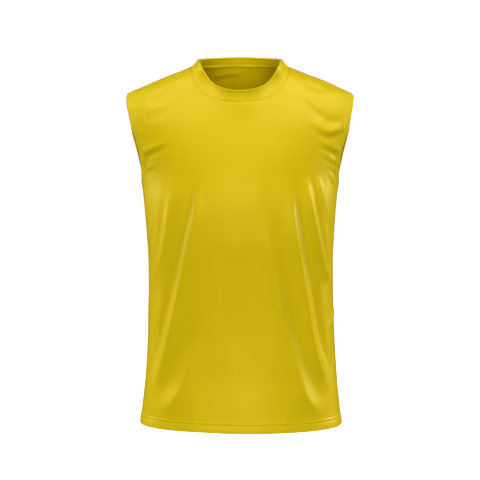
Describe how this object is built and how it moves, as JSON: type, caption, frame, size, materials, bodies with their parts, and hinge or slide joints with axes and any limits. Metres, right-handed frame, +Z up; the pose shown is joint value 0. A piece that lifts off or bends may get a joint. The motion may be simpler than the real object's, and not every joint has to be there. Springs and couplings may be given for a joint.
{
  "type": "t-shirt",
  "caption": "Sleeveless crew-neck t-shirt in plain yellow jersey, filled out as if worn, hollow, open at the neck, the armholes and the hem.",
  "frame": {"origin": "midway between the two neck points, where the shoulder seams meet the neckband, at the height of those points", "axes": "+Z up along the garment's length, -Y out of its front, +X towards the viewer's right"},
  "size_m": [0.439, 0.2571, 0.708],
  "materials": {
    "jersey": "matt single-knit cotton jersey with a soft nap",
    "neckband_jersey": "matt folded cotton jersey band"
  },
  "bodies": {
    "root": {"front_panel": "jersey", "back_panel": "jersey", "neckband": "neckband_jersey"}
  },
  "joints": []
}
